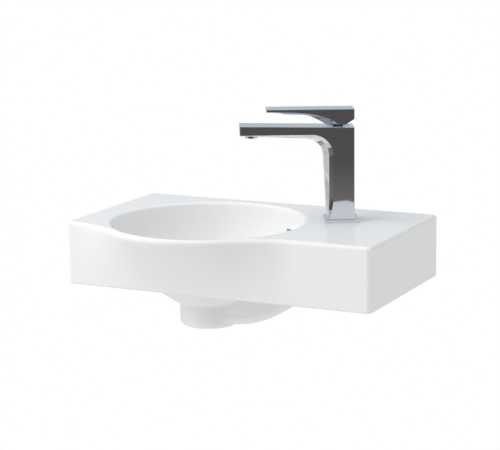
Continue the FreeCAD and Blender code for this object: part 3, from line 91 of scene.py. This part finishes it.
uneven_skin = build_uneven_skin()


def add_uneven_skin(tree, surface, place, patches, gloss, ripple=0):
    """Places the skin: patches per metre, lowest and highest roughness, ripple in metres."""
    skin = tree.nodes.new("ShaderNodeGroup")
    skin.node_tree = uneven_skin
    skin.inputs["Patches per metre"].default_value = patches
    skin.inputs["Glossiest"].default_value, skin.inputs["Dullest"].default_value = gloss
    tree.links.new(place, skin.inputs["Place"])
    tree.links.new(skin.outputs["Roughness"], surface.inputs["Roughness"])
    if ripple:
        bump = tree.nodes.new("ShaderNodeBump")
        bump.inputs["Distance"].default_value = ripple
        tree.links.new(skin.outputs["Ripple"], bump.inputs["Height"])
        tree.links.new(bump.outputs["Normal"], surface.inputs["Normal"])
    return skin


def compare(tree, value, operation, limit):
    """1 where the value passes the limit, else 0."""
    test = tree.nodes.new("ShaderNodeMath")
    test.operation = operation
    test.inputs[1].default_value = limit
    tree.links.new(value, test.inputs[0])
    return test.outputs["Value"]


def combine(tree, operation, first, second):
    """Two masks as one: MULTIPLY where both hold, MAXIMUM where either does."""
    both = tree.nodes.new("ShaderNodeMath")
    both.operation = operation
    tree.links.new(first, both.inputs[0])
    tree.links.new(second, both.inputs[1])
    return both.outputs["Value"]


def split_axes(tree, vector):
    """The X, Y and Z outputs of a vector."""
    axes = tree.nodes.new("ShaderNodeSeparateXYZ")
    tree.links.new(vector, axes.inputs["Vector"])
    return axes.outputs


def mix_colours(tree, share, first, second):
    """A mix of two colours, each a plain colour or a socket."""
    mix = tree.nodes.new("ShaderNodeMix")
    mix.data_type = "RGBA"
    tree.links.new(share, mix.inputs["Factor"])
    for socket, colour in ((mix.inputs[6], first), (mix.inputs[7], second)):
        if isinstance(colour, tuple):
            socket.default_value = colour
        else:
            tree.links.new(colour, socket)
    return mix.outputs[2]


glaze, tree, surface, place = new_finish("fired_white_glaze")
skin = add_uneven_skin(tree, surface, place, patches=14, gloss=(0.05, 0.09), ripple=0.0002)
position = split_axes(tree, place)
facing = split_axes(tree, tree.nodes.new("ShaderNodeTexCoord").outputs["Normal"])
on_wall_face = compare(tree, position["Y"], "GREATER_THAN", WALL_FACE)
at_apron_foot = combine(
    tree, "MULTIPLY",
    compare(tree, position["Z"], "LESS_THAN", APRON_FOOT_HIGH),
    compare(tree, position["Z"], "GREATER_THAN", APRON_FOOT_LOW),
)
at_boss_foot = compare(tree, position["Z"], "LESS_THAN", BOSS_FOOT)
at_a_foot = combine(tree, "MAXIMUM", at_apron_foot, at_boss_foot)
faces_down = compare(tree, facing["Z"], "LESS_THAN", FACES_DOWN)
under_a_foot = combine(tree, "MULTIPLY", at_a_foot, faces_down)
wiped = combine(tree, "MAXIMUM", on_wall_face, under_a_foot)
pooled = mix_colours(tree, skin.outputs["Ripple"], GLAZE_WHITE, GLAZE_POOLED)
tree.links.new(mix_colours(tree, wiped, pooled, RAW_CLAY), surface.inputs["Base Color"])
roughness = tree.nodes.new("ShaderNodeMapRange")
roughness.inputs["To Max"].default_value = CLAY_ROUGHNESS
tree.links.new(wiped, roughness.inputs["Value"])
tree.links.new(skin.outputs["Roughness"], roughness.inputs["To Min"])
tree.links.new(roughness.outputs["Result"], surface.inputs["Roughness"])
give_finish(glaze, "basin")

# ---------------------------------------------------------------------------------------------
# The bright pieces: tap body, lever, plate, dome ring, aerator housing, index cap, plug cap and
# waste flange.  They are brass, ground and buffed, then plated with nickel and chromium, so they
# mirror with only the faintest buffing marks.
# ---------------------------------------------------------------------------------------------

CHROMIUM = (0.74, 0.755, 0.775, 1)
CHROMIUM_DEEP = (0.70, 0.715, 0.735, 1)


def new_two_toned_finish(name, tones, patches, gloss, ripple=0, metal=False):
    """A finish whose colour wanders between two tones, in the same patches as its gloss."""
    material, tree, surface, place = new_finish(name)
    surface.inputs["Metallic"].default_value = float(metal)
    skin = add_uneven_skin(tree, surface, place, patches, gloss, ripple)
    colour = mix_colours(tree, skin.outputs["Ripple"], *tones)
    tree.links.new(colour, surface.inputs["Base Color"])
    return material, tree, surface, place


chrome, *_ = new_two_toned_finish(
    "buffed_chromium", (CHROMIUM, CHROMIUM_DEEP),
    patches=60, gloss=(0.03, 0.06), ripple=0.000004, metal=True,
)
give_finish(
    chrome, "tap_body", "tap_base_plate", "aerator_housing", "cartridge_dome_ring", "lever",
    "lever_index_cap", "plug_cap", "waste_body",
)

# ---------------------------------------------------------------------------------------------
# Bare brass turnings: the backnut, the clamp nut, the cartridge's ring nut and the spindle.  They
# come straight from the lathe, so fine rings run round each one's own axis.
# ---------------------------------------------------------------------------------------------

BRASS = (0.70, 0.53, 0.26, 1)
BRASS_TARNISHED = (0.55, 0.40, 0.19, 1)
TOOL_MARKS_PER_METRE = 900
TOOL_MARK_DEPTH = 0.00003
TOOL_MARK_WAVINESS = 0.4

for name in ("waste_backnut", "clamp_nut", "cartridge_ring_nut", "spindle"):
    brass, tree, surface, place = new_two_toned_finish(
        "turned_brass_" + name, (BRASS, BRASS_TARNISHED),
        patches=120, gloss=(0.22, 0.38), metal=True,
    )
    low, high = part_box(name)
    middle = (low + high) / 2
    from_axis = tree.nodes.new("ShaderNodeVectorMath")
    from_axis.operation = "SUBTRACT"
    from_axis.inputs[1].default_value = (middle.x, middle.y, 0)
    tree.links.new(place, from_axis.inputs[0])
    rings = tree.nodes.new("ShaderNodeTexWave")
    rings.wave_type = "RINGS"
    rings.rings_direction = "SPHERICAL"
    rings.inputs["Scale"].default_value = TOOL_MARKS_PER_METRE
    rings.inputs["Distortion"].default_value = TOOL_MARK_WAVINESS
    tree.links.new(from_axis.outputs["Vector"], rings.inputs["Vector"])
    marks = tree.nodes.new("ShaderNodeBump")
    marks.inputs["Distance"].default_value = TOOL_MARK_DEPTH
    tree.links.new(rings.outputs["Fac"], marks.inputs["Height"])
    tree.links.new(marks.outputs["Normal"], surface.inputs["Normal"])
    give_finish(brass, name)

# ---------------------------------------------------------------------------------------------
# Zinc plated steel: the stud, the horseshoe washer, the plug's stem, the spindle's pin and the
# grub screw.  The plating is dull bright with a cloudy, slightly blue passivate.  The stud has its
# thread rolled all the way up.
# ---------------------------------------------------------------------------------------------

ZINC = (0.60, 0.62, 0.65, 1)
ZINC_CLOUDED = (0.50, 0.51, 0.55, 1)

zinc, *_ = new_two_toned_finish(
    "zinc_plated_steel", (ZINC, ZINC_CLOUDED),
    patches=180, gloss=(0.26, 0.45), ripple=0.00002, metal=True,
)
give_finish(zinc, "clamp_washer", "plug_stem", "spindle_pin", "lever_grub_screw")

THREADS_PER_METRE = 800
WAVES_PER_UNIT_SCALE = 20 / (2 * math.pi)
THREAD_DEPTH = 0.0006

threaded = zinc.copy()
threaded.name = "threaded_zinc"
tree = threaded.node_tree
thread = tree.nodes.new("ShaderNodeTexWave")
thread.bands_direction = "Z"
thread.inputs["Scale"].default_value = THREADS_PER_METRE / WAVES_PER_UNIT_SCALE
tree.links.new(tree.nodes["Texture Coordinate"].outputs["Object"], thread.inputs["Vector"])
groove = tree.nodes.new("ShaderNodeBump")
groove.inputs["Distance"].default_value = THREAD_DEPTH
tree.links.new(thread.outputs["Fac"], groove.inputs["Height"])
tree.links.new(tree.nodes["Bump"].outputs["Normal"], groove.inputs["Normal"])
tree.links.new(groove.outputs["Normal"], tree.nodes["Principled BSDF"].inputs["Normal"])
give_finish(threaded, "tap_stud")

# ---------------------------------------------------------------------------------------------
# Rubber: the seals and gaskets of the waste, the plug, the tap's foot, the clamp, the aerator and
# the cartridge.  Moulded black rubber, matt, with a fine grain and a trace of talc.
# ---------------------------------------------------------------------------------------------

RUBBER = (0.022, 0.022, 0.024, 1)
RUBBER_TALC = (0.055, 0.055, 0.056, 1)

rubber, *_ = new_two_toned_finish(
    "moulded_rubber", (RUBBER, RUBBER_TALC), patches=700, gloss=(0.55, 0.8), ripple=0.00006
)
give_finish(
    rubber, "waste_flange_seal", "waste_lower_seal", "plug_seal", "tap_base_gasket", "clamp_gasket",
    "aerator_gasket", "cartridge_port_seals",
)

# ---------------------------------------------------------------------------------------------
# Mouldings: the slip washer, plug guide, cartridge base, driver and housing in white acetal, the
# spindle carrier and the aerator's insert in grey.  All have the fine spark-eroded grain of a
# moulding tool.
# ---------------------------------------------------------------------------------------------

WHITE_TONES = ((0.78, 0.78, 0.765, 1), (0.74, 0.74, 0.72, 1))
GREY_TONES = ((0.23, 0.235, 0.24, 1), (0.19, 0.195, 0.2, 1))
WHITE_MOULDINGS = (
    "waste_slip_washer", "plug_guide", "cartridge_base", "disc_driver", "cartridge_housing",
)
GREY_MOULDINGS = ("aerator_insert", "spindle_carrier")

for name, tones, mouldings in (
    ("white_acetal", WHITE_TONES, WHITE_MOULDINGS),
    ("grey_acetal", GREY_TONES, GREY_MOULDINGS),
):
    acetal, *_ = new_two_toned_finish(
        name, tones, patches=1500, gloss=(0.38, 0.52), ripple=0.00003
    )
    give_finish(acetal, *mouldings)

# ---------------------------------------------------------------------------------------------
# The cartridge's two discs: sintered alumina, lapped flat so that they seal on each other.  Dense,
# off-white and very finely speckled.
# ---------------------------------------------------------------------------------------------

ALUMINA = (0.80, 0.775, 0.72, 1)
ALUMINA_SPECK = (0.70, 0.67, 0.61, 1)

alumina, *_ = new_two_toned_finish(
    "lapped_alumina", (ALUMINA, ALUMINA_SPECK), patches=2500, gloss=(0.16, 0.26), ripple=0.000005
)
give_finish(alumina, "fixed_disc", "moving_disc")

# ---------------------------------------------------------------------------------------------
# The floor: pale and far below, since the basin hangs in front of nothing.  It glows evenly, pure
# white where the camera sees it, and greyer in the light it gives and in mirrors.
# ---------------------------------------------------------------------------------------------

FLOOR_HEIGHT = -0.85
FLOOR_REACH = 6
FLOOR_IN_DIFFUSE = 0.77
FLOOR_IN_MIRRORS = 0.70
FLOOR_IN_VIEW = 1.0


def new_glow(name):
    """A material that gives light and mirrors nothing, with its emission shader."""
    material = bpy.data.materials.new(name)
    material.use_nodes = True
    tree = material.node_tree
    tree.nodes.remove(tree.nodes["Principled BSDF"])
    glow = tree.nodes.new("ShaderNodeEmission")
    tree.links.new(glow.outputs["Emission"], tree.nodes["Material Output"].inputs["Surface"])
    return material, tree, glow


def add_card(name, corners, material):
    """A flat stage card through four corners."""
    mesh = bpy.data.meshes.new(name)
    mesh.from_pydata(corners, [], [(0, 1, 2, 3)])
    mesh.materials.append(material)
    card = bpy.data.objects.new(name, mesh)
    bpy.context.scene.collection.objects.link(card)
    return card


def switch_strength(tree, ray, elsewhere, on_ray):
    """One strength on this kind of ray, and elsewhere another, a number or a socket."""
    choice = tree.nodes.new("ShaderNodeMapRange")
    tree.links.new(ray, choice.inputs["Value"])
    if isinstance(elsewhere, float):
        choice.inputs["To Min"].default_value = elsewhere
    else:
        tree.links.new(elsewhere, choice.inputs["To Min"])
    choice.inputs["To Max"].default_value = on_ray
    return choice.outputs["Result"]


pale, tree, glow = new_glow("pale_floor")
rays = tree.nodes.new("ShaderNodeLightPath").outputs
strength = switch_strength(tree, rays["Is Glossy Ray"], FLOOR_IN_DIFFUSE, FLOOR_IN_MIRRORS)
strength = switch_strength(tree, rays["Is Camera Ray"], strength, FLOOR_IN_VIEW)
tree.links.new(strength, glow.inputs["Strength"])
floor_corners = [
    (across * FLOOR_REACH, depth * FLOOR_REACH, FLOOR_HEIGHT)
    for across, depth in ((-1, -1), (1, -1), (1, 1), (-1, 1))
]
add_card("floor", floor_corners, pale)

# ---------------------------------------------------------------------------------------------
# The dark card: it stands behind the camera and shows only in mirrors, where it makes the tap's
# near sides dark.  It pales towards its foot, as the photograph's column does.
# ---------------------------------------------------------------------------------------------

CARD_DARK = (0.10, 0.094, 0.091, 1)
CARD_PALER = (0.21, 0.195, 0.19, 1)
PALER_UNDER = -0.155
PALEST_AT = -0.33
CARD_DISTANCE = 2.6
CARD_ENDS = (math.radians(-31), math.radians(57))
CARD_TOP = 0.35
CARD_FOOT = FLOOR_HEIGHT + 0.01

dark, tree, glow = new_glow("dark_card")
position = split_axes(tree, tree.nodes.new("ShaderNodeTexCoord").outputs["Object"])
paler = tree.nodes.new("ShaderNodeMapRange")
paler.interpolation_type = "SMOOTHSTEP"
paler.inputs["From Min"].default_value = PALER_UNDER
paler.inputs["From Max"].default_value = PALEST_AT
tree.links.new(position["Z"], paler.inputs["Value"])
card_colour = mix_colours(tree, paler.outputs["Result"], CARD_DARK, CARD_PALER)
tree.links.new(card_colour, glow.inputs["Color"])
left_end, right_end = [
    Vector((math.sin(turn), -math.cos(turn), 0)) * CARD_DISTANCE for turn in CARD_ENDS
]
foot, top = Vector((0, 0, CARD_FOOT)), Vector((0, 0, CARD_TOP))
card_corners = [left_end + foot, right_end + foot, right_end + top, left_end + top]
card = add_card("dark_card", card_corners, dark)
card.visible_camera = False
card.visible_diffuse = False
card.visible_shadow = False

# ---------------------------------------------------------------------------------------------
# The lamps: one large soft key lamp from the upper left, and a weak one low on the left.  Neither
# shows in the glaze or the chromium, which mirror the surround, the floor and the dark card.
# ---------------------------------------------------------------------------------------------

LAMP_COLOUR = (1.0, 0.985, 0.975)
LAMPS_AIM = Vector((0, -0.1, 0))

for name, place, width, power in (
    ("key_lamp", Vector((-1.4, -1.3, 2.1)), 2.2, 43),
    ("low_lamp", Vector((-2.0, -0.9, -0.5)), 0.9, 6),
):
    data = bpy.data.lights.new(name, "AREA")
    data.size = width
    data.energy = power
    data.color = LAMP_COLOUR
    lamp = bpy.data.objects.new(name, data)
    bpy.context.scene.collection.objects.link(lamp)
    lamp.location = place
    lamp.rotation_euler = (LAMPS_AIM - place).to_track_quat("-Z", "Y").to_euler()
    lamp.visible_glossy = False

# ---------------------------------------------------------------------------------------------
# The surround: a pale even light from everywhere, a little bluer in mirrors, and pure white where
# the camera sees it.
# ---------------------------------------------------------------------------------------------

SURROUND = (0.805, 0.81, 0.82, 1)
SURROUND_IN_MIRRORS = (0.665, 0.735, 0.805, 1)
SURROUND_STRENGTH = 0.80
BACKDROP = (1, 1, 1, 1)

world = bpy.data.worlds.new("surround")
world.use_nodes = True
tree = world.node_tree
rays = tree.nodes.new("ShaderNodeLightPath").outputs
light = tree.nodes["Background"]
shade = mix_colours(tree, rays["Is Glossy Ray"], SURROUND, SURROUND_IN_MIRRORS)
tree.links.new(shade, light.inputs["Color"])
light.inputs["Strength"].default_value = SURROUND_STRENGTH
white = tree.nodes.new("ShaderNodeBackground")
white.inputs["Color"].default_value = BACKDROP
choose = tree.nodes.new("ShaderNodeMixShader")
tree.links.new(rays["Is Camera Ray"], choose.inputs["Fac"])
tree.links.new(light.outputs["Background"], choose.inputs[1])
tree.links.new(white.outputs["Background"], choose.inputs[2])
tree.links.new(choose.outputs["Shader"], tree.nodes["World Output"].inputs["Surface"])
bpy.context.scene.world = world
bpy.context.scene.view_settings.view_transform = "Standard"

# ---------------------------------------------------------------------------------------------
# The camera stands where the photograph was taken from: to the right, a little above the deck,
# about two and a half metres away, with a long lens.
# ---------------------------------------------------------------------------------------------

YAW = math.radians(26.18)
PITCH = math.radians(11.24)
ROLL = math.radians(-0.70)
DISTANCE = 2.44746
LENS = 129.07
SENSOR_WIDTH = 36
NEAREST_SEEN = 0.05
FARTHEST_SEEN = 50
AIM = Vector((0.00304, -0.130, 0.03473))

back = Vector((math.sin(YAW) * math.cos(PITCH), -math.cos(YAW) * math.cos(PITCH), math.sin(PITCH)))
level = Vector((math.cos(YAW), math.sin(YAW), 0))
upward = back.cross(level)
right = level * math.cos(ROLL) + upward * math.sin(ROLL)
above = upward * math.cos(ROLL) - level * math.sin(ROLL)
seat = AIM + back * DISTANCE
camera_data = bpy.data.cameras.new("camera")
camera_data.sensor_width = SENSOR_WIDTH
camera_data.lens = LENS
camera_data.clip_start = NEAREST_SEEN
camera_data.clip_end = FARTHEST_SEEN
camera = bpy.data.objects.new("camera", camera_data)
bpy.context.scene.collection.objects.link(camera)
camera.matrix_world = Matrix(
    [
        (right.x, above.x, back.x, seat.x),
        (right.y, above.y, back.y, seat.y),
        (right.z, above.z, back.z, seat.z),
        (0, 0, 0, 1),
    ]
)
bpy.context.scene.camera = camera
